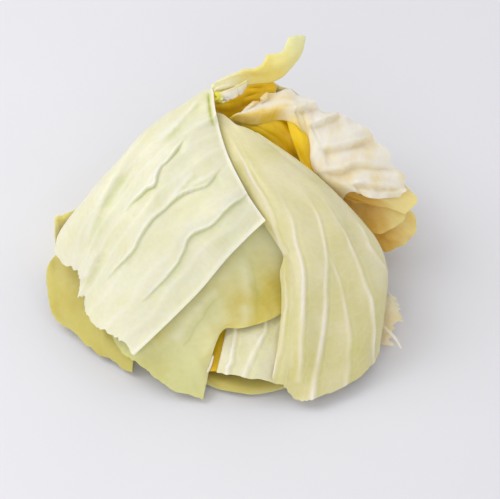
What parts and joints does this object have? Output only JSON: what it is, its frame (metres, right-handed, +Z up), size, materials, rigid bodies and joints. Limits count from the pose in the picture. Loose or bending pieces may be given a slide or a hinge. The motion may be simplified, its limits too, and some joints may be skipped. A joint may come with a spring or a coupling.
{
  "type": "green cabbage chunk",
  "caption": "Rough-cut chunk of raw green cabbage: nested ribbed leaves lean together like a tent, paler and yellower towards the heart, resting on a cupped leaf.",
  "frame": {"origin": "on the flat spot that the chunk rests on, under its middle", "axes": "+Z up. -Y is the front, where the two outer leaves lean together. +X is to the right seen from the front"},
  "size_m": [0.1098, 0.095, 0.0603],
  "materials": {
    "cream_green_blade": "waxy satin",
    "pale_green_blade": "waxy satin",
    "leaf_green_blade": "waxy satin",
    "cream_blade": "waxy satin",
    "butter_blade": "waxy satin",
    "yellow_blade": "waxy satin",
    "deep_yellow_blade": "waxy satin"
  },
  "bodies": {
    "root": {"outer_leaf_left": "cream_green_blade", "outer_leaf_right": "pale_green_blade", "front_flap_leaf": "pale_green_blade", "under_leaf_front": "leaf_green_blade", "under_leaf_left": "leaf_green_blade", "crinkled_leaf": "cream_blade", "tip_leaf": "butter_blade", "curled_lip": "cream_blade", "gold_leaf_back": "deep_yellow_blade", "heart_leaf": "deep_yellow_blade", "heart_fold_leaf": "yellow_blade", "petal_leaf_upper": "yellow_blade", "petal_leaf_middle": "yellow_blade", "petal_leaf_lower": "yellow_blade", "inner_leaf_right": "butter_blade", "inner_leaf_left": "butter_blade", "torn_leaf_right": "butter_blade", "base_leaf": "butter_blade", "back_leaf": "pale_green_blade", "back_skirt_leaf": "yellow_blade"}
  },
  "joints": []
}
